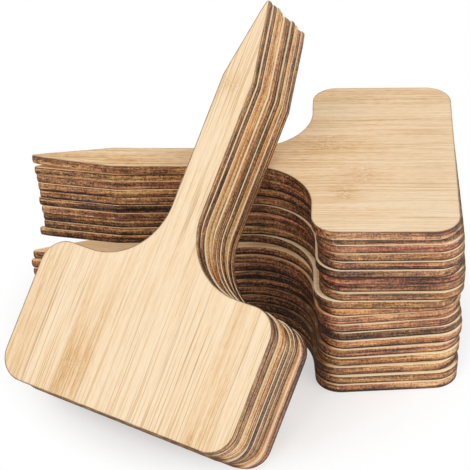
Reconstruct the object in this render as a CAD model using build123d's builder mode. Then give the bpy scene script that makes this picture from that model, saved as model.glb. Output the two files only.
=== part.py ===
"""Thirty T-shaped bamboo plant labels: a pile of twenty lying flat and ten leaning on it.

Millimetres, +Z up. The origin is the middle of the bottom label's underside,
and +X runs along that label from its point towards its head.
"""
import os
from math import cos, radians, sin

from build123d import *

os.makedirs("parts", exist_ok=True)

# One label, cut from bamboo sheet
label_length = 98
label_width = 60
label_thickness = 2.2
head_length = 33
stem_width = 7.8
point_length = 18.9
neck_radius = 15
corner_radius = 6

# Warp of the top label, whose point curls up off the pile
warp_rise = 0.8
warp_length = 36

# Lean of the standing bundle, and where along the top stem it rests
lean_angle = 43.8
lean_turn = -34.2
lean_place = 47.8
lean_clearance = 0.3

# How each lying label lies, from the bottom one up, against the bottom one.
# Turns are in degrees. Slips run towards the head, as shares of the label's length.
# Sets run away from the leaning bundle, as shares of the label's width.
lying_turns = [
    0, 0, 0.1, 1.2, 1.8, 2.2, 2.5, 2.0, 1.8, 1.6,
    -3.7, -3.5, -3.1, -3.1, -3.8, -3.5, -3.2, -3.3, -3.2, -4.2,
]
lying_slip_shares = [
    0, 0.002, -0.003, 0.001, -0.002, 0.003, 0, -0.002, -0.005, 0.001,
    0.016, 0.028, 0.028, 0.026, 0.021, 0.025, 0.023, 0.021, 0.018, 0.014,
]
lying_set_shares = [
    0, 0.005, 0.015, 0.016, 0.018, 0.021, 0.024, 0.031, 0.035, 0.039,
    0.071, 0.070, 0.075, 0.069, 0.066, 0.067, 0.068, 0.070, 0.070, 0.060,
]

# How each leaning label sits against the rear one, from the rear one forwards
leaning_turns = [0, 0.2, -0.1, 0.1, 0.3, 0, 0.3, 0.2, 0, 0.3]
leaning_slip_shares = [0, 0.003, -0.001, -0.003, 0, 0.002, -0.002, -0.004, -0.002, -0.004]
leaning_set_shares = [0, 0.003, -0.002, 0.003, 0.002, 0.005, 0.001, 0.004, 0.002, 0.001]

# How far a cutting form runs past what it cuts
overrun = 2

# Worked out from the sizes above
half_length = label_length / 2
half_stem = stem_width / 2
half_width = label_width / 2
shoulder = label_length - head_length
top_number = len(lying_turns) - 1


def lying_plane(number):
    """Plane of a lying label's underside, with the label's point at its origin."""
    turn = radians(lying_turns[number])
    return Plane(
        origin=(
            label_length * lying_slip_shares[number] - half_length * cos(turn),
            label_width * lying_set_shares[number] - half_length * sin(turn),
            label_thickness * number,
        ),
        x_dir=(cos(turn), sin(turn), 0),
        z_dir=(0, 0, 1),
    )


def rear_plane():
    """Plane of the leaning bundle's rear face, with the rear label's point at its origin.

    The rear label stands on its lower edge, and one side of its stem crosses
    the near upper edge of the pile's top stem.
    """
    lean = radians(lean_angle)
    turn = radians(lean_turn)
    across = Vector(cos(turn), sin(turn), 0)
    down = Vector(sin(turn) * cos(lean), -cos(turn) * cos(lean), -sin(lean))
    forward = down.cross(across)
    crossing = lying_plane(top_number).from_local_coords(Vector(lean_place, -half_stem, label_thickness))
    # The point where the bundle crosses the pile, along the rear label from its tip
    height = crossing.Z + lean_clearance * cos(lean)
    crossed = label_length - height / sin(lean)
    point = crossing + forward * lean_clearance + across * half_stem - down * crossed
    return Plane(origin=point, x_dir=down, z_dir=forward)


def leaning_plane(number):
    """Plane of a leaning label's rear face, with the label's point at its origin."""
    rear = rear_plane()
    middle = Vector(
        label_length * leaning_slip_shares[number] + half_length,
        label_width * leaning_set_shares[number],
        label_thickness * number,
    )
    turn = radians(leaning_turns[number])
    along = rear.x_dir * cos(turn) + rear.y_dir * sin(turn)
    return Plane(
        origin=rear.from_local_coords(middle) - along * half_length,
        x_dir=along,
        z_dir=rear.z_dir,
    )


def save(label, name):
    """Name a finished label and write it to its own file."""
    label.part.label = name
    export_step(label.part, f"parts/{name}.step")


# The outline that every label is cut to: a point, a stem, a curved neck and a head
with BuildSketch() as outline:
    with BuildLine():
        Line((0, 0), (point_length, half_stem))
        FilletPolyline(
            (point_length, half_stem),
            (shoulder, half_stem),
            (shoulder, half_width),
            (label_length, half_width),
            (label_length, 0),
            radius=[neck_radius, corner_radius, corner_radius],
        )
        mirror(about=Plane.XZ)
    make_face()

# The pile's flat labels
for number in range(top_number):
    with BuildPart() as flat_label:
        with BuildSketch(lying_plane(number)):
            add(outline.sketch)
        extrude(amount=label_thickness)
    save(flat_label, f"lying_label_{number + 1:02d}")

# The pile's top label, cut from a sheet that curls up towards the point
top_plane = lying_plane(top_number)
side_plane = Plane(origin=top_plane.origin, x_dir=top_plane.x_dir, z_dir=-top_plane.y_dir)
with BuildPart() as top_label:
    with BuildSketch(top_plane):
        add(outline.sketch)
    extrude(amount=warp_rise + label_thickness)
    with BuildSketch(side_plane):
        with BuildLine():
            underside = Line((label_length + overrun, 0), (warp_length, 0))
            curl = TangentArc(underside @ 1, (0, warp_rise), tangent=underside % 1)
            tip = Line(curl @ 1, (0, warp_rise + label_thickness))
            face = Line((label_length + overrun, label_thickness), (warp_length, label_thickness))
            TangentArc(face @ 1, tip @ 1, tangent=face % 1)
            Line(face @ 0, underside @ 0)
        make_face()
    extrude(amount=half_width + overrun, both=True, mode=Mode.INTERSECT)
save(top_label, f"lying_label_{top_number + 1:02d}")

# The leaning bundle
for number in range(len(leaning_turns)):
    with BuildPart() as leaning_label:
        with BuildSketch(leaning_plane(number)):
            add(outline.sketch)
        extrude(amount=label_thickness)
    save(leaning_label, f"leaning_label_{number + 1:02d}")
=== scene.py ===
"""Looks for thirty laser-cut bamboo plant labels: a pile of twenty and ten leaning on it.

The frame is in metres. One label is drawn in millimetres in its own axes, with its
point at the origin, +X along the grain to its head, and +Z off its upper face.
"""

from math import atan2, ceil, cos, degrees, dist, radians, sin

import bmesh
import bpy
from mathutils import Euler, Matrix, Vector, noise


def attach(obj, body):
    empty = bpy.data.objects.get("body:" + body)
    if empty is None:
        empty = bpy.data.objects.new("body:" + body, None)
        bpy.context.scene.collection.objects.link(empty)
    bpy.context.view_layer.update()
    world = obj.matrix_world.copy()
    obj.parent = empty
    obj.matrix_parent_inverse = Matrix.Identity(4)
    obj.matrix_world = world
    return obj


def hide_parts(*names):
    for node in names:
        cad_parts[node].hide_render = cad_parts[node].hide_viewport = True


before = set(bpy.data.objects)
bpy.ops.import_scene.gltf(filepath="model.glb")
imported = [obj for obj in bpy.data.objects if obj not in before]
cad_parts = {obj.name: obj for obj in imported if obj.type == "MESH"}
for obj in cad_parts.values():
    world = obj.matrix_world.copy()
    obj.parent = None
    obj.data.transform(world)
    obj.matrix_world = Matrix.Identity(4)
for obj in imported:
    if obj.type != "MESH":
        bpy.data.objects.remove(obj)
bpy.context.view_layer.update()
millimetre = 0.001

# One label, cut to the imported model's sizes
label_length = 98.0
label_width = 60.0
label_thickness = 2.2
head_length = 33.0
stem_width = 7.8
point_length = 18.9
neck_radius = 15.0
corner_radius = 6.0
nose_radius = 0.45

# Curl of the pile's top label towards its point
curl_rise = 0.8
curl_length = 36.0
curl_cuts = 14

# The cut edge, from the underside's rim to the upper face's rim: height, how far in from
# the outline, and how far in at the nose. The laser's cut leans in towards the underside.
edge_profile = [
    (0.00, 1.40, 0.43), (0.00, 0.08, 0.36), (0.05, 0.05, 0.24), (0.55, 0.04, 0.06),
    (1.05, 0.03, 0.02), (1.55, 0.02, 0.04), (2.12, 0.00, 0.15), (2.20, 0.08, 0.33),
    (2.20, 0.42, 0.38), (2.20, 1.10, 0.43),
]

# The first and last of those rings that belong to the rough wall
wall_first, wall_last = 2, 6

# How far from the nose the wall and the faces' rims reach their full inset
nose_ease = 2.5
face_ease = 8.0

# Share of the wall's inset where it faces the point, and on the leaning labels
facing_point_share = 0.3
bundle_rim_share = 1.6

# Pieces in each arc of the outline, and the longest step along the outline
nose_pieces, neck_pieces, corner_pieces = 4, 18, 10
edge_step = 1.5

# The wall's roughness: how deep it goes, how coarse it is, and the share of it at the nose's tip
edge_roughness = 0.05
roughness_size = 0.9
nose_roughness = 0.15

# Smoke on a label's pale rim. It sets in before the neck, over the fade's length, and past the
# shoulder it keeps to where the rim faces the point. It also takes the rim of the head's end.
neck_start, neck_fade = 45.0, 8.0
neck_slope, neck_offset = 1.6, 0.3
butt_slope, butt_offset = 5.0, 4.0
butt_smoke = 0.9

# How clean the rim stayed along the stems of the pile
pile_stem_clean = 0.7

# Where the stem's burn goes over into the head's: start and length, as shares of the label's
change_start, change_share = 0.45, 0.3

# How burnt each label's edge is, from 0 for tan to 1 for black, at its point, its neck and
# its head, then how red, at its point and its head, and how clean the neck's rim stayed.
# The pile goes from the bottom up, the bundle from the rear.
# Where the bundle shades the pile's stems and necks, part of these burns is painted shade.
lying_burn_at_point = [
    0.62, 0.70, 0.66, 0.58, 0.72, 0.64, 0.75, 0.68, 0.60, 0.66,
    0.76, 0.80, 0.82, 0.52, 0.78, 0.66, 0.58, 0.66, 0.66, 0.56,
]
lying_burn_at_neck = [
    0.68, 0.78, 0.82, 0.82, 0.68, 0.70, 0.95, 0.82, 0.56, 0.66,
    0.72, 0.54, 0.52, 0.38, 0.72, 0.48, 0.56, 0.74, 0.34, 0.50,
]
lying_burn_at_head = [
    0.50, 0.50, 0.48, 0.40, 0.54, 0.26, 0.78, 0.56, 0.52, 0.08,
    0.52, 0.50, 0.66, 0.40, 0.78, 0.56, 0.58, 0.50, 0.66, 0.56,
]
lying_red_at_point = [
    0.3, 0.2, 0.3, 0.2, 0.4, 0.3, 0.1, 0.4, 0.4, 0.2,
    0.1, 0.2, 0.0, 0.4, 0.3, 0.3, 0.2, 0.4, 0.1, 0.2,
]
lying_red_at_head = [
    0.3, 0.2, 0.2, 0.1, 0.6, 0.4, 0.2, 0.6, 0.5, 0.4,
    0.1, 0.2, 0.4, 0.9, 0.5, 0.6, 0.3, 0.8, 0.3, 0.5,
]
lying_clean_neck = [
    0.3, 0.1, 0.2, 0.4, 0.1, 0.0, 0.0, 0.1, 0.5, 0.8,
    1.0, 0.1, 0.0, 0.1, 0.9, 0.0, 0.3, 0.1, 0.1, 0.0,
]
leaning_burn_at_point = [0.55, 0.60, 0.02, 0.76, 0.64, 0.44, 0.08, 0.14, 0.62, 0.56]
leaning_burn_at_neck = [0.54, 0.68, 0.20, 0.68, 0.42, 0.54, 0.10, 0.10, 0.44, 0.74]
leaning_burn_at_head = [0.70, 0.44, 0.10, 0.68, 0.70, 0.64, 0.18, 0.18, 0.42, 0.52]
leaning_red_at_point = [0.2, 0.3, 0.1, 0.1, 0.2, 0.2, 0.0, 0.1, 0.4, 0.1]
leaning_red_at_head = [0.7, 0.5, 0.1, 0.1, 0.1, 0.0, 0.2, 0.1, 0.3, 0.2]
leaning_clean_neck = 1.0

# The pile's labels from this one up were cut face down, so their clean rim is the lower one
first_flipped = 18

# Places in the noise: where the pile's and the bundle's first labels are, and how far apart the rest
lying_seed, lying_seed_step = 1.0, 0.73
leaning_seed, leaning_seed_step = 20.4, 0.91

# What a label's mesh is finished with, in the order of its materials
face_finish, edge_finish, back_finish = 0, 1, 2

half_width = label_width / 2
half_stem = stem_width / 2
shoulder = label_length - head_length


# One label's shape

def clamp(value):
    """The value, held between 0 and 1."""
    return min(1, max(0, value))


def arc(across, up, radius, first, last, pieces):
    """Points of an arc round (across, up), between two angles in degrees."""
    angles = [radians(first + (last - first) * i / pieces) for i in range(pieces + 1)]
    return [(across + radius * cos(a), up + radius * sin(a)) for a in angles]


def label_outline():
    """Points of a label's outline, counterclockwise from its nose, each with its outward direction."""
    slope = degrees(atan2(half_stem - nose_radius, point_length - nose_radius))
    corner_middle = half_width - corner_radius
    nose = arc(nose_radius, 0, nose_radius, 180, 90 + slope, nose_pieces)
    neck = arc(shoulder - neck_radius, half_stem + neck_radius, neck_radius, -90, 0, neck_pieces)
    inner = arc(shoulder + corner_radius, corner_middle, corner_radius, 180, 90, corner_pieces)
    outer = arc(label_length - corner_radius, corner_middle, corner_radius, 90, 0, corner_pieces)
    side = nose + [(point_length, half_stem)] + neck + inner + outer
    corners = [(x, -y) for x, y in side] + side[:0:-1]
    points = []
    for start, end in zip(corners, corners[1:] + corners[:1]):
        steps = max(1, ceil(dist(start, end) / edge_step))
        points += [Vector(start).lerp(Vector(end), i / steps) for i in range(steps)]
    faced = []
    for i, point in enumerate(points):
        run = points[(i + 1) % len(points)] - points[i - 1]
        faced.append((point, Vector((run.y, -run.x)).normalized()))
    return faced


outline = label_outline()


def rim_inset(level, point, outward, rim_share):
    """How far in from the outline a ring of the cut edge runs at one of the outline's points."""
    _, side, nose = edge_profile[level]
    on_face = level in (0, len(edge_profile) - 2, len(edge_profile) - 1)
    if not on_face:
        side *= rim_share * (1 - (1 - facing_point_share) * max(0, -outward.x))
    reach = min(1, point.x / (face_ease if on_face else nose_ease))
    return nose + (side - nose) * reach


def rim_cleanness(point, outward, clean_neck, stem_clean):
    """How clean the pale rim stayed at one of the outline's points: 1 is clean, 0 is smoked all over."""
    entry = clamp((point.x - neck_start) / neck_fade)
    neck = entry if point.x < shoulder else clamp(-neck_slope * outward.x - neck_offset)
    butt = clamp(butt_slope * outward.x - butt_offset)
    kept = 1 - (1 - clean_neck) * neck - butt_smoke * butt
    return kept * (stem_clean + (1 - stem_clean) * entry)


def along_label(values, x):
    """A value that goes from the point's to the head's, by way of the neck's if there are three."""
    changed = clamp((x - change_start * label_length) / (change_share * label_length))
    where = changed * (len(values) - 1)
    first = min(int(where), len(values) - 2)
    return values[first] + (values[first + 1] - values[first]) * (where - first)


def cut_label(
    name, axes, seed, burn, red, clean_neck, finishes,
    flipped=False, rim_share=1.0, stem_clean=1.0, curl=0.0,
):
    """One label's mesh, drawn in its own axes and then set where those axes are.

    Its corners keep what the finishes need: their place on the flat label, how the cut faces,
    how high and how far in they are, the label's seed, burn and red, and how clean the rim is.
    """
    form = bmesh.new()
    place = form.verts.layers.float_vector.new("place")
    cut = form.verts.layers.float_vector.new("cut")
    sheet = form.verts.layers.float_vector.new("sheet")
    clean = form.verts.layers.float.new("clean")
    rings = []
    for level, (height, inset, _) in enumerate(edge_profile):
        ring = []
        for point, outward in outline:
            spot = point - outward * rim_inset(level, point, outward, rim_share)
            if wall_first <= level < wall_last:
                rough = Vector((point.x, point.y, height)) / roughness_size + Vector((seed, 0, 0))
                bite = min(1, nose_roughness + point.x / nose_ease)
                spot = spot - outward * edge_roughness * (1 + noise.noise(rough)) * bite
            corner = form.verts.new((spot.x, spot.y, height))
            up = height / label_thickness
            corner[cut] = (outward.x, 1 - up if flipped else up, inset)
            corner[clean] = rim_cleanness(point, outward, clean_neck, stem_clean)
            ring.append(corner)
        rings.append(ring)
    for level, (low, high) in enumerate(zip(rings, rings[1:])):
        if level < wall_first - 1:
            finish = back_finish
        elif level < wall_last:
            finish = edge_finish
        else:
            finish = face_finish
        for i in range(len(low)):
            j = (i + 1) % len(low)
            face = form.faces.new((low[i], low[j], high[j], high[i]))
            face.material_index = finish
            face.smooth = finish == edge_finish
    form.faces.new(reversed(rings[0])).material_index = back_finish
    form.faces.new(rings[-1]).material_index = face_finish
    if curl:
        for i in range(curl_cuts):
            bmesh.ops.bisect_plane(
                form, geom=form.verts[:] + form.edges[:] + form.faces[:],
                plane_co=(curl_length * (i + 1) / curl_cuts, 0, 0), plane_no=(1, 0, 0),
            )
    for corner in form.verts:
        corner[place] = corner.co
        corner[sheet] = (seed, along_label(burn, corner.co.x), along_label(red, corner.co.x))
        corner.co.z += curl * max(0, 1 - corner.co.x / curl_length) ** 2
    mesh = bpy.data.meshes.new(name)
    form.to_mesh(mesh)
    form.free()
    mesh.transform(axes @ Matrix.Scale(millimetre, 4))
    for finish in finishes:
        mesh.materials.append(finish)
    piece = bpy.data.objects.new(name, mesh)
    bpy.context.scene.collection.objects.link(piece)
    return piece


def label_axes(node):
    """A packed label's own axes, read from its mesh: its farthest corner from the middle is its point."""
    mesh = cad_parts[node].data
    corners = [v.co for v in mesh.vertices]
    widest = max(mesh.polygons, key=lambda face: face.area)
    up = widest.normal if widest.normal.z > 0 else -widest.normal
    flat = [c - up * c.dot(up) for c in corners]
    middle = sum(flat, Vector()) / len(flat)
    tip = max(flat, key=lambda c: (c - middle).length)
    along = (middle - tip).normalized()
    origin = tip + up * min(c.dot(up) for c in corners)
    return Matrix.Translation(origin) @ Matrix((along, up.cross(along), up)).transposed().to_4x4()


# Shader maths

class Shade:
    """One output of a shader node. Arithmetic on it adds Math nodes."""

    def __init__(self, tree, socket=None):
        self.tree = tree
        self.socket = socket

    def node(self, kind, settings=None, sockets=None, output=0):
        """A node of that kind: its settings, then its sockets' values or links. Gives one output."""
        made = self.tree.nodes.new(kind)
        for name, value in (settings or {}).items():
            if name == "stops":
                ramp = made.color_ramp
                ramp.interpolation = settings.get("interpolation", "LINEAR")
                while len(ramp.elements) < len(value):
                    ramp.elements.new(0.5)
                for element, (position, colour) in zip(ramp.elements, value):
                    element.position, element.color = position, (*colour, 1)
            elif name != "interpolation":
                setattr(made, name, value)
        for name, value in (sockets or {}).items():
            if isinstance(value, Shade):
                self.tree.links.new(value.socket, made.inputs[name])
            else:
                made.inputs[name].default_value = value
        return Shade(self.tree, made.outputs[output]) if made.outputs else None

    def output(self, number):
        """Another output of the same node."""
        return Shade(self.tree, self.socket.node.outputs[number])

    def maths(self, operation, *others):
        """A Math node on this value and the others."""
        return self.node("ShaderNodeMath", {"operation": operation}, dict(enumerate((self, *others))))

    def __add__(self, other):
        return self.maths("ADD", other)

    def __sub__(self, other):
        return self.maths("SUBTRACT", other)

    def __rsub__(self, other):
        return self.node("ShaderNodeMath", {"operation": "SUBTRACT"}, {0: other, 1: self})

    def __mul__(self, other):
        return self.maths("MULTIPLY", other)

    __radd__, __rmul__ = __add__, __mul__

    def larger(self, other):
        """The larger of the two, or this one where there is no other yet."""
        return self if other is None else self.maths("MAXIMUM", other)

    def distance(self, other):
        """How far this value is from another."""
        return (self - other).maths("ABSOLUTE")

    def rise(self, low, high):
        """0 below low, 1 above high, smooth between; the other way where high is the lower."""
        return self.node(
            "ShaderNodeMapRange", {"interpolation_type": "SMOOTHSTEP"},
            {"Value": self, "From Min": low, "From Max": high},
        )

    def ramp(self, stops, interpolation="LINEAR"):
        """Colour at this value, from a row of (value, colour) stops."""
        return self.node(
            "ShaderNodeValToRGB", {"stops": stops, "interpolation": interpolation}, {"Fac": self}
        )

    def blend(self, below, above, kind="MIX"):
        """Colour that goes from below to above as this value goes from 0 to 1."""
        ends = [end if isinstance(end, Shade) else (*end, 1) for end in (below, above)]
        return self.node(
            "ShaderNodeMix", {"data_type": "RGBA", "blend_type": kind},
            {"Factor": self, 6: ends[0], 7: ends[1]}, output=2,
        )

    def attribute(self, name):
        """The three parts of a vector kept on the mesh."""
        vector = self.node("ShaderNodeAttribute", {"attribute_name": name}, output=1)
        parts = self.node("ShaderNodeSeparateXYZ", sockets={0: vector})
        return [parts.output(i) for i in range(3)]

    def number(self, name):
        """A number kept on the mesh."""
        return self.node("ShaderNodeAttribute", {"attribute_name": name}, output=2)

    def noise(self, x, y, z, detail=2.0, roughness=0.5):
        """Smooth noise, about 0.5, at a place given by three values."""
        spot = self.node("ShaderNodeCombineXYZ", sockets={0: x, 1: y, 2: z})
        return self.node(
            "ShaderNodeTexNoise",
            sockets={"Vector": spot, "Scale": 1.0, "Detail": detail, "Roughness": roughness},
        )

    def dashes(self, along, across, length, width, share):
        """Thin tapered dashes along the grain, one to a patch of length by width; a share of them show."""
        spot = self.node("ShaderNodeCombineXYZ", sockets={0: along * (1 / length), 1: across * (1 / width)})
        middle = self.node(
            "ShaderNodeTexVoronoi", {"voronoi_dimensions": "2D"}, {"Vector": spot, "Scale": 1.0}
        )
        chance = self.node("ShaderNodeSeparateColor", sockets={0: middle.output(1)})
        return middle.rise(0.28, 0.14) * chance.rise(1 - share, 1 - share * 0.3)


def srgb(red, green, blue):
    """A colour given as it shows on a screen, from 0 to 255."""
    return tuple(
        c / 12.92 if c <= 0.04045 else ((c + 0.055) / 1.055) ** 2.4
        for c in (red / 255, green / 255, blue / 255)
    )


# Bamboo and burnt edges. Places and sizes are in millimetres on the label. Noise lies about 0.5,
# so with 0.5 taken off it pushes a tone both ways.

pale = srgb(245, 221, 188)
cream = srgb(238, 209, 170)
honey = srgb(226, 187, 140)
toffee = srgb(194, 142, 88)
gold_fibre = srgb(206, 166, 108)
fibre_brown = srgb(150, 110, 72)
knot_orange = srgb(206, 146, 84)
dark_fibre = srgb(104, 74, 50)
rim_cream = srgb(255, 240, 204)
rim_tan = srgb(246, 198, 142)
bamboo_colours = [(0.0, pale), (0.35, cream), (0.72, honey), (1.0, toffee)]
soot = srgb(38, 25, 17)
burn_colours = [
    (0.0, srgb(255, 226, 178)),
    (0.2, srgb(250, 206, 144)),
    (0.4, srgb(218, 166, 108)),
    (0.6, srgb(162, 118, 81)),
    (0.8, srgb(100, 70, 47)),
    (1.0, soot),
]
head_bloom = srgb(190, 168, 150)
red_cast = srgb(245, 213, 244)
amber_cast = srgb(255, 228, 202)
# Smoke on the cut where it faces the point, with painted shade of the neck
neck_smoke_and_shade = srgb(255, 239, 224)
ash = srgb(124, 104, 92)
pore_light = srgb(196, 152, 112)

# How far apart two labels with seeds 1 apart lie in the noise, along the grain, through the
# layers of the cut edge, and in the random strips
grain_stride, layer_stride, strip_stride = 31.7, 17.3, 5.3

# Usual width of the random strips
usual_strip = 6.5

# Fibres drawn as dashes: their length, their width, and the share of places that have one
long_dash = 78.0, 0.52, 0.50
short_dash = 26.0, 0.42, 0.6
dark_dash = 30.0, 0.44, 0.16

# How far the fibre lanes wander, how ragged the cane's joints are, and a seam's half width,
# from where it starts to where it is full
lane_wander = 1.2
joint_raggedness = 2.6
seam_span = 0.20, 0.06

# How far in from the label's edge a tint starts and where it is full: honey and a burnt line on
# the two faces that show, a pale band and scorching on the others
honey_span = 0.90, 0.25
burnt_line_span = 0.30, 0.10
pale_span = 0.95, 0.35
scorch_span = 1.35, 0.55

# Stretches along the label where the face darkens towards the point, and where the cut edge is burnt more
# for the head, blooms grey, and is lighter again at the head's end
towards_point = 52, 4
onto_head = 50, 68
bloom_stretch = 64, 74
head_end = 84, 95

# How the cut edge faces, from -1 towards the point to 1 away from it, where it shows fibre ends: on the
# side of the point, where it also takes painted shade in the neck, and at the head's end
end_facing = -0.2, -0.9
butt_facing = 0.6, 1.0

# The painted shade along the cut's lower edge, where the next label meets it, and the pale line along its
# upper edge, as shares of the thickness
lower_shade_line = 0.22, 0.04
upper_line = 0.995, 1.025


def new_finish(name):
    """An empty material, and the start of its shader maths."""
    material = bpy.data.materials.new(name)
    material.use_nodes = True
    tree = material.node_tree
    tree.nodes.clear()
    return material, Shade(tree)


def rim_colour(clean):
    """Cream where the rim stayed clean, tan where smoke reached it."""
    return clean.rise(0.65, 1.0).blend(rim_tan, rim_cream)


def close_finish(shade, colour, roughness, height, depth, specular):
    """Bumped wood surface on the material's output. The bump's depth is in millimetres."""
    bump = shade.node(
        "ShaderNodeBump", sockets={"Strength": 1.0, "Distance": depth * millimetre, "Height": height}
    )
    surface = shade.node(
        "ShaderNodeBsdfPrincipled",
        sockets={
            "Base Color": colour, "Roughness": roughness, "Normal": bump,
            "Specular IOR Level": specular,
        },
    )
    shade.node("ShaderNodeOutputMaterial", sockets={"Surface": surface})


def bamboo_finish(
    name, strips=None, lines=(), nodes=(), fineness=1.0, crispness=1.0,
    warmth=0.0, tip_warmth=0.0, rim_burn=0.0,
):
    """Planed bamboo, in strips along the grain.

    strips: (where a strip begins across the label, its tone near the stem, its tone at
    the head's end); where none are given, they are random. lines: (place across, strength)
    of dark seams. nodes: (along, across, half length, half width, strength) of the cane's
    joints. fineness: how fine the fibres are. crispness: how strong. warmth: how much
    browner the whole face is, and tip_warmth its point. rim_burn: how dark the line round
    the face is; at 0 the face has a pale rim instead.
    """
    material, shade = new_finish(name)
    own_along, across, _ = shade.attribute("place")
    seed, _, _ = shade.attribute("sheet")
    _, _, rim = shade.attribute("cut")
    clean = shade.number("clean")
    along = own_along + seed * grain_stride

    # Lanes of fibres across the label, which wander a little on their way along it
    wander = shade.noise(along * 0.03, across * 0.05, seed, 1.0) - 0.5
    lane = across + wander * lane_wander

    # The cane's joints: a ragged ridge across the strip, and mottled fibres round it
    knot = ridge = stain = None
    ragged = shade.noise(along * 0.5, across * 0.8, seed, 3.0, 0.65) - 0.5
    for at, place, half_long, half_wide, strength in nodes:
        local = own_along - at + ragged * joint_raggedness
        inside = across.distance(place).rise(half_wide + 0.3, half_wide - 0.5) * strength
        knot = (local.maths("ABSOLUTE").rise(half_long * 1.3, half_long * 0.4) * inside).larger(knot)
        ridge = ((local + ragged * 5).maths("ABSOLUTE").rise(0.42, 0.12) * inside).larger(ridge)
        stain = (own_along.distance(at).rise(half_long * 3.5, half_long * 0.6) * inside).larger(stain)
    if knot is not None:
        lane = lane + (shade.noise(along * 0.6, across * 0.5, seed, 2.0) - 0.5) * knot * 0.9

    # Tone of each strip, and the seams between strips
    if strips:
        spread = (lane + half_width) * (1 / label_width)
        starts = [(strip[0] + half_width) / label_width for strip in strips]
        near = spread.ramp([(at, (strip[1],) * 3) for at, strip in zip(starts, strips)], "CONSTANT")
        far = spread.ramp([(at, (strip[2],) * 3) for at, strip in zip(starts, strips)], "CONSTANT")
        tone = own_along.rise(shoulder - 4, label_length - 8).blend(near, far)
    else:
        cell = shade.node(
            "ShaderNodeTexVoronoi", {"voronoi_dimensions": "1D"},
            {"W": lane * (1 / usual_strip) + seed * strip_stride, "Scale": 1.0}, output=1,
        )
        tone = shade.node("ShaderNodeSeparateColor", sockets={0: cell}) * 0.7
    seam = None
    for place, strength in lines:
        seam = (lane.distance(place).rise(*seam_span) * strength).larger(seam)
    patch = shade.noise(along * 0.035, lane * 0.16, seed, 2.0)
    tone = (patch - 0.5) * 0.34 + tone + warmth + own_along.rise(*towards_point) * tip_warmth
    if stain is not None:
        tone = tone + stain * 0.18

    # Fibres: a fine even grain, long thin lines, and short dashes, some of them dark
    thread = lane * fineness
    grain = shade.noise(along * 0.03, thread * 1.4, seed, 4.0, 0.8)
    streak = shade.noise(along * 0.02, thread * 0.7, seed + 7.0, 2.0)
    where = shade.noise(along * 0.012, lane * 0.22, seed + 3.0, 1.0).rise(0.34, 0.66)
    long_lines = shade.dashes(along, thread, *long_dash)
    short_lines = shade.dashes(along + 5.0, thread + 3.3, *short_dash)
    dark_lines = shade.dashes(along + 2.0, thread + 1.1, *dark_dash)
    gold = long_lines.larger(short_lines * (where * 0.7 + 0.30))
    pores = shade.noise(along * 0.45, thread * 3.0, seed + 8.0, 2.0, 0.6)
    fine = (grain - 0.5) * 1.5 + (pores - 0.5) * 0.9 + (streak - 0.5) * 0.4 + 0.06
    fine = fine * (tone * 0.6 + 0.60) * crispness

    colour = (tone + fine).ramp(bamboo_colours)
    colour = (gold * 0.78).blend(colour, gold_fibre)
    colour = (dark_lines * 0.45).blend(colour, fibre_brown)
    if seam is not None:
        gaps = shade.noise(along * 0.05, lane * 0.2, seed + 5.0, 1.0).rise(0.36, 0.62)
        colour = (seam * (gaps * 0.75 + 0.25) * 0.65).blend(colour, fibre_brown)
    if knot is not None:
        threads = shade.noise(along * 0.16, thread * 2.4, seed + 6.0, 2.0, 0.6)
        colour = (stain * threads.rise(0.46, 0.66) * 0.38).blend(colour, knot_orange)
        speck = shade.noise(along * 1.2, across * 2.6, seed, 4.0, 0.8)
        colour = (knot * speck.rise(0.46, 0.58) * 0.34).blend(colour, toffee)
        colour = (knot * speck.rise(0.56, 0.62) * 0.50).blend(colour, fibre_brown)
        colour = (ridge * speck.rise(0.50, 0.42) * 0.60).blend(colour, rim_cream)

    # The rim: bright where it stayed clean, otherwise scorched
    ember = shade.noise(along * 0.35, across * 0.35, seed + 2.0, 2.0).rise(0.25, 0.65) * 0.4 + 0.6
    if rim_burn:
        colour = (rim.rise(*honey_span) * 0.16).blend(colour, honey)
        colour = (rim.rise(*burnt_line_span) * ember * rim_burn).blend(colour, dark_fibre)
    else:
        colour = (rim.rise(*pale_span) * 0.7).blend(colour, rim_colour(clean))
        scorch = rim.rise(*scorch_span) * ember * clean.rise(0.7, 0.2)
        colour = (scorch * 0.95).blend(colour, dark_fibre)
    relief = grain * 0.6 - gold * 0.5 + streak * 0.3
    roughness = 0.52 + (grain - 0.5) * 0.22 + gold * 0.10
    close_finish(shade, colour, roughness, relief, depth=0.045, specular=0.32)
    return material


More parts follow.
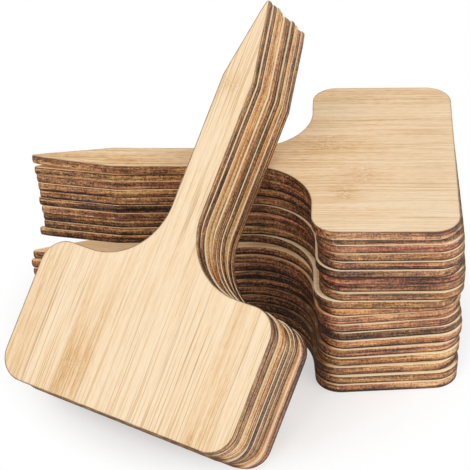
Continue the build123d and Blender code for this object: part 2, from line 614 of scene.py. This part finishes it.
def burnt_edge_finish(name):
    """Laser-cut edge: fibres run along it or end in it, browned to black."""
    material, shade = new_finish(name)
    along, across, height = shade.attribute("place")
    seed, burn, red = shade.attribute("sheet")
    facing, up, _ = shade.attribute("cut")
    clean = shade.number("clean")
    layer = height + seed * layer_stride

    # Where fibres end in the cut: where it faces the point, which also carries painted shade in the neck,
    # and at the head's end
    end = facing.rise(*end_facing)
    butt = facing.rise(*butt_facing)

    # How burnt it is, from the label's own burn and the fibres, layers and specks in it, with painted shade
    # towards the cut's lower edge and where it faces the point
    streak = shade.noise(along * 0.07, across * 0.9, layer * 2.2, 3.0, 0.65)
    layers = shade.noise(along * 0.02, across * 0.02, layer * 1.2, 1.0)
    fibre = shade.noise(along * 0.22, across * 2.8, layer * 3.6, 2.0, 0.6)
    speck = shade.noise(along * 2.2, across * 3.0, layer * 3.2, 3.0, 0.75)
    cloud = shade.noise(along * 0.10, across * 0.12, seed * 3.1, 2.0)
    stripes = shade.noise(along * 3.0, across * 3.0, layer * 0.6, 1.0)
    tide = up + (stripes - 0.5) * 0.2
    char = (
        burn + end * 0.27 + butt * 0.30 - along.rise(*head_end) * 0.10
        + (streak - 0.5) * 1.0 + (layers - 0.5) * 1.5 + (fibre - 0.5) * 1.1
        + (cloud - 0.5) * 0.6 + (speck - 0.5) * (1.5 + end * 1.1) + (stripes - 0.5) * 0.5
        + (0.5 - up) * 0.26 + tide.rise(*lower_shade_line) * (0.42 - end * 0.2)
        + along.rise(*onto_head) * 0.05 - 0.08
    )
    colour = (char * 0.8 + 0.2).ramp(burn_colours)

    # Red and amber over it, smoke and painted shade where it faces the point, ash in patches, and a bloom
    # at the head
    redness = red * 1.1 + (cloud - 0.5) * 1.0 + (fibre - 0.5) * 0.8
    colour = redness.blend(colour, red_cast, "MULTIPLY")
    amber = shade.noise(along * 0.05, across * 0.3, layer * 0.7 + 5.0, 2.0).rise(0.42, 0.60)
    colour = (amber * burn.rise(0.75, 0.25) * 0.9).blend(colour, amber_cast, "MULTIPLY")
    colour = (end * 0.9).blend(colour, neck_smoke_and_shade, "MULTIPLY")
    greyed = shade.noise(along * 0.09, across * 0.5, layer * 1.3 + 9.0, 2.0).rise(0.52, 0.68)
    greyed = greyed * burn.rise(0.25, 0.55) * (0.30 - end * 0.2)
    colour = greyed.blend(colour, ash)
    colour = (along.rise(*bloom_stretch) * 0.05).blend(colour, head_bloom)

    # Black specks, pale pores, and the pale line of the upper edge
    spots = speck.rise(0.56, 0.66) * (0.40 + end * 0.5)
    colour = spots.blend(colour, soot)
    pores = shade.noise(along * 1.7 + 3.0, across * 2.6, layer * 2.6 + 4.0, 2.0, 0.7).rise(0.60, 0.72)
    colour = (pores * (0.50 - end * 0.25)).blend(colour, pore_light)
    arris = (up + clean * 0.05 + (fibre - 0.5) * 0.03).rise(*upper_line)
    arris = arris * (clean * 0.95 + 0.05) * (1 - butt * 0.8)
    colour = arris.blend(colour, rim_colour(clean))
    relief = stripes * 0.6 + speck * 0.5 + fibre * 0.4
    roughness = 0.58 + (speck - 0.5) * 0.25
    close_finish(shade, colour, roughness, relief, depth=0.10, specular=0.28)
    return material


# Tones across the front face and the pile's top face, as the photograph shows their strips
front_strips = [
    (-30.0, 0.26, 0.34), (-23.4, 0.08, 0.10), (-16.2, 0.14, 0.42), (-9.0, 0.12, 0.12),
    (-2.0, 0.16, 0.08), (8.0, 0.10, 0.14), (19.4, 0.28, 0.38), (25.4, 0.10, 0.12),
]
front_lines = [
    (-23.4, 0.8), (-22.8, 0.35), (-16.2, 0.2), (-9.0, 0.55), (-3.3, 0.3), (0.9, 0.4), (5.0, 0.45),
    (8.5, 0.25), (12.9, 0.35), (19.2, 0.4), (25.4, 0.5),
]
front_nodes = [(90.2, -12.6, 2.8, 3.4, 0.46), (20.6, -1.2, 1.3, 2.0, 0.6), (96.9, 20.6, 1.0, 0.7, 0.9)]
top_strips = [
    (-30.0, 0.24, 0.26), (-24.7, 0.30, 0.26), (-18.0, 0.42, 0.30), (-11.0, 0.46, 0.34),
    (-4.3, 0.52, 0.28), (2.0, 0.44, 0.38), (9.2, 0.46, 0.36), (15.5, 0.34, 0.32),
    (22.6, 0.52, 0.50),
]
top_lines = [(-24.7, 0.6), (-18.0, 0.5), (-11.0, 0.35), (9.2, 0.3), (14.9, 0.3), (22.6, 0.35)]
top_nodes = [
    (72.5, -14.6, 1.6, 3.2, 0.7), (76.6, -7.6, 2.6, 3.1, 0.7), (68.5, 5.6, 4.6, 3.4, 0.66),
]

front_bamboo = bamboo_finish(
    "front_bamboo", front_strips, front_lines, front_nodes, fineness=1.1, crispness=1.3,
    rim_burn=0.95,
)
top_bamboo = bamboo_finish(
    "top_bamboo", top_strips, top_lines, top_nodes, fineness=1.5, crispness=1.8,
    warmth=-0.09, tip_warmth=0.16, rim_burn=0.7,
)
stacked_bamboo = bamboo_finish("stacked_bamboo", warmth=0.34)
burnt_edge = burnt_edge_finish("burnt_edge")

# The labels, from the bottom one up and from the rear one forwards
lying_nodes = sorted(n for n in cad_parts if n.startswith("lying_label_"))
leaning_nodes = sorted(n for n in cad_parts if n.startswith("leaning_label_"))


def place_label(node, seed, burn, red, clean_neck, face, **ways):
    """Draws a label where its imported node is, and lets it ride there."""
    piece = cut_label(
        node.replace("label", "bamboo"), label_axes(node), seed, burn, red, clean_neck,
        (face, burnt_edge, stacked_bamboo), **ways,
    )
    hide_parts(node)
    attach(piece, node)


for i, node in enumerate(lying_nodes):
    top = node == lying_nodes[-1]
    place_label(
        node, lying_seed + lying_seed_step * i,
        (lying_burn_at_point[i], lying_burn_at_neck[i], lying_burn_at_head[i]),
        (lying_red_at_point[i], lying_red_at_head[i]), lying_clean_neck[i],
        top_bamboo if top else stacked_bamboo,
        flipped=i >= first_flipped, stem_clean=pile_stem_clean, curl=curl_rise if top else 0.0,
    )
for i, node in enumerate(leaning_nodes):
    front = node == leaning_nodes[-1]
    place_label(
        node, leaning_seed + leaning_seed_step * i,
        (leaning_burn_at_point[i], leaning_burn_at_neck[i], leaning_burn_at_head[i]),
        (leaning_red_at_point[i], leaning_red_at_head[i]), leaning_clean_neck,
        front_bamboo if front else stacked_bamboo, rim_share=bundle_rim_share,
    )

# The floor: half its side, how far it lies under the labels, how much of it glows white within
# the shadow, and how far from the middle the shadow begins to clear and has gone
floor_size = 6.0
floor_drop = 0.0002
shadow_glow = 0.50
shadow_reach, clear_reach = 0.045, 0.063
floor_mesh = bpy.data.meshes.new("floor")
floor_square = ((-1, -1), (1, -1), (1, 1), (-1, 1))
floor_corners = [(x * floor_size, y * floor_size, -floor_drop) for x, y in floor_square]
floor_mesh.from_pydata(floor_corners, [], [(0, 1, 2, 3)])
floor = bpy.data.objects.new("floor", floor_mesh)
bpy.context.scene.collection.objects.link(floor)
white = (1, 1, 1, 1)
white_floor, shade = new_finish("white_floor")
matte = shade.node("ShaderNodeBsdfDiffuse", sockets={"Color": white})
glow = shade.node("ShaderNodeEmission", sockets={"Color": white, "Strength": 1.0})
seen = shade.node("ShaderNodeLightPath")
spot = shade.node("ShaderNodeNewGeometry")
reach = shade.node("ShaderNodeVectorMath", {"operation": "LENGTH"}, {0: spot}, output=1)
clearing = reach.rise(shadow_reach, clear_reach) * (1 - shadow_glow) + shadow_glow
mixed = shade.node("ShaderNodeMixShader", sockets={0: seen * clearing, 1: matte, 2: glow})
shade.node("ShaderNodeOutputMaterial", sockets={"Surface": mixed})
floor_mesh.materials.append(white_floor)

# Light: an even white surround, a broad key from the front left, and a soft one from above right.
# The surround looks white to the camera and in gloss, and lights the labels less than that.
surround_light = 0.46
surround = bpy.data.worlds.new("surround")
bpy.context.scene.world = surround
surround.use_nodes = True
surround.node_tree.nodes.clear()
shade = Shade(surround.node_tree)
camera_ray = shade.node("ShaderNodeLightPath")
glossy_ray, clear_ray = camera_ray.output(3), camera_ray.output(6)
direct = camera_ray.larger(glossy_ray).larger(clear_ray)
sky = shade.node(
    "ShaderNodeBackground",
    sockets={"Color": white, "Strength": direct * (1 - surround_light) + surround_light},
)
shade.node("ShaderNodeOutputWorld", sockets={"Surface": sky})

# What both lamps point at, and the watts that light a white surface a metre away to level 1
lit_place = (0, 0, 0.04)
watts_a_metre_away = 9.87


def softbox(name, place, size, level):
    """A square lamp that lights a white surface facing it to that level."""
    lamp = bpy.data.lights.new(name, "AREA")
    lamp.size = size
    throw = Vector(lit_place) - Vector(place)
    lamp.energy = level * watts_a_metre_away * throw.length ** 2
    holder = bpy.data.objects.new(name, lamp)
    holder.location = place
    holder.rotation_euler = throw.to_track_quat("-Z", "Y").to_euler()
    bpy.context.scene.collection.objects.link(holder)


softbox("key", (-0.55, -0.75, 0.95), size=0.6, level=0.36)
softbox("top", (0.45, -0.25, 1.1), size=0.8, level=0.36)

# The camera, at the photograph's angle: its place, its turns in degrees, its sensor and its lens
camera_place = (-0.00679, -0.40458, 0.31425)
camera_turns = (54.3733, 1.7326, -2.0424)
sensor_width = 36.0
focal_length = 162.137
lens = bpy.data.cameras.new("camera")
lens.sensor_width = sensor_width
lens.lens = focal_length
camera = bpy.data.objects.new("camera", lens)
camera.location = camera_place
camera.rotation_euler = Euler([radians(turn) for turn in camera_turns])
bpy.context.scene.collection.objects.link(camera)
bpy.context.scene.camera = camera
bpy.context.scene.view_settings.view_transform = "Standard"
